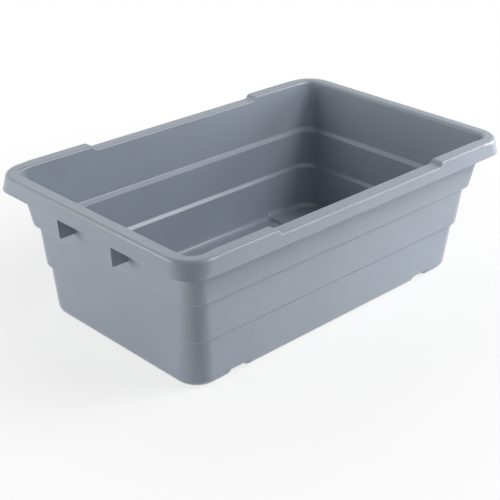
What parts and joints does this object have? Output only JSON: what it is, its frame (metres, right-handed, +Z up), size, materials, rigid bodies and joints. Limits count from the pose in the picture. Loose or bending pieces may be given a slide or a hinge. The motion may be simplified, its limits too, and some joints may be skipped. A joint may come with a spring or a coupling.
{
  "type": "bus tub",
  "caption": "Open rectangular moulded tub with stepped, tapered walls, a down-turned rim lowered along its long sides, and a grooved base; it nests and cross-stacks.",
  "frame": {"origin": "middle of the base, on the surface that the tub stands on", "axes": "+X along the tub, +Y across it, +Z up out of its mouth"},
  "size_m": [0.638, 0.402, 0.214],
  "materials": {
    "tub_plastic": "plain grey moulded polyethylene with a faint satin sheen"
  },
  "bodies": {
    "root": {"tub": "tub_plastic"}
  },
  "joints": []
}
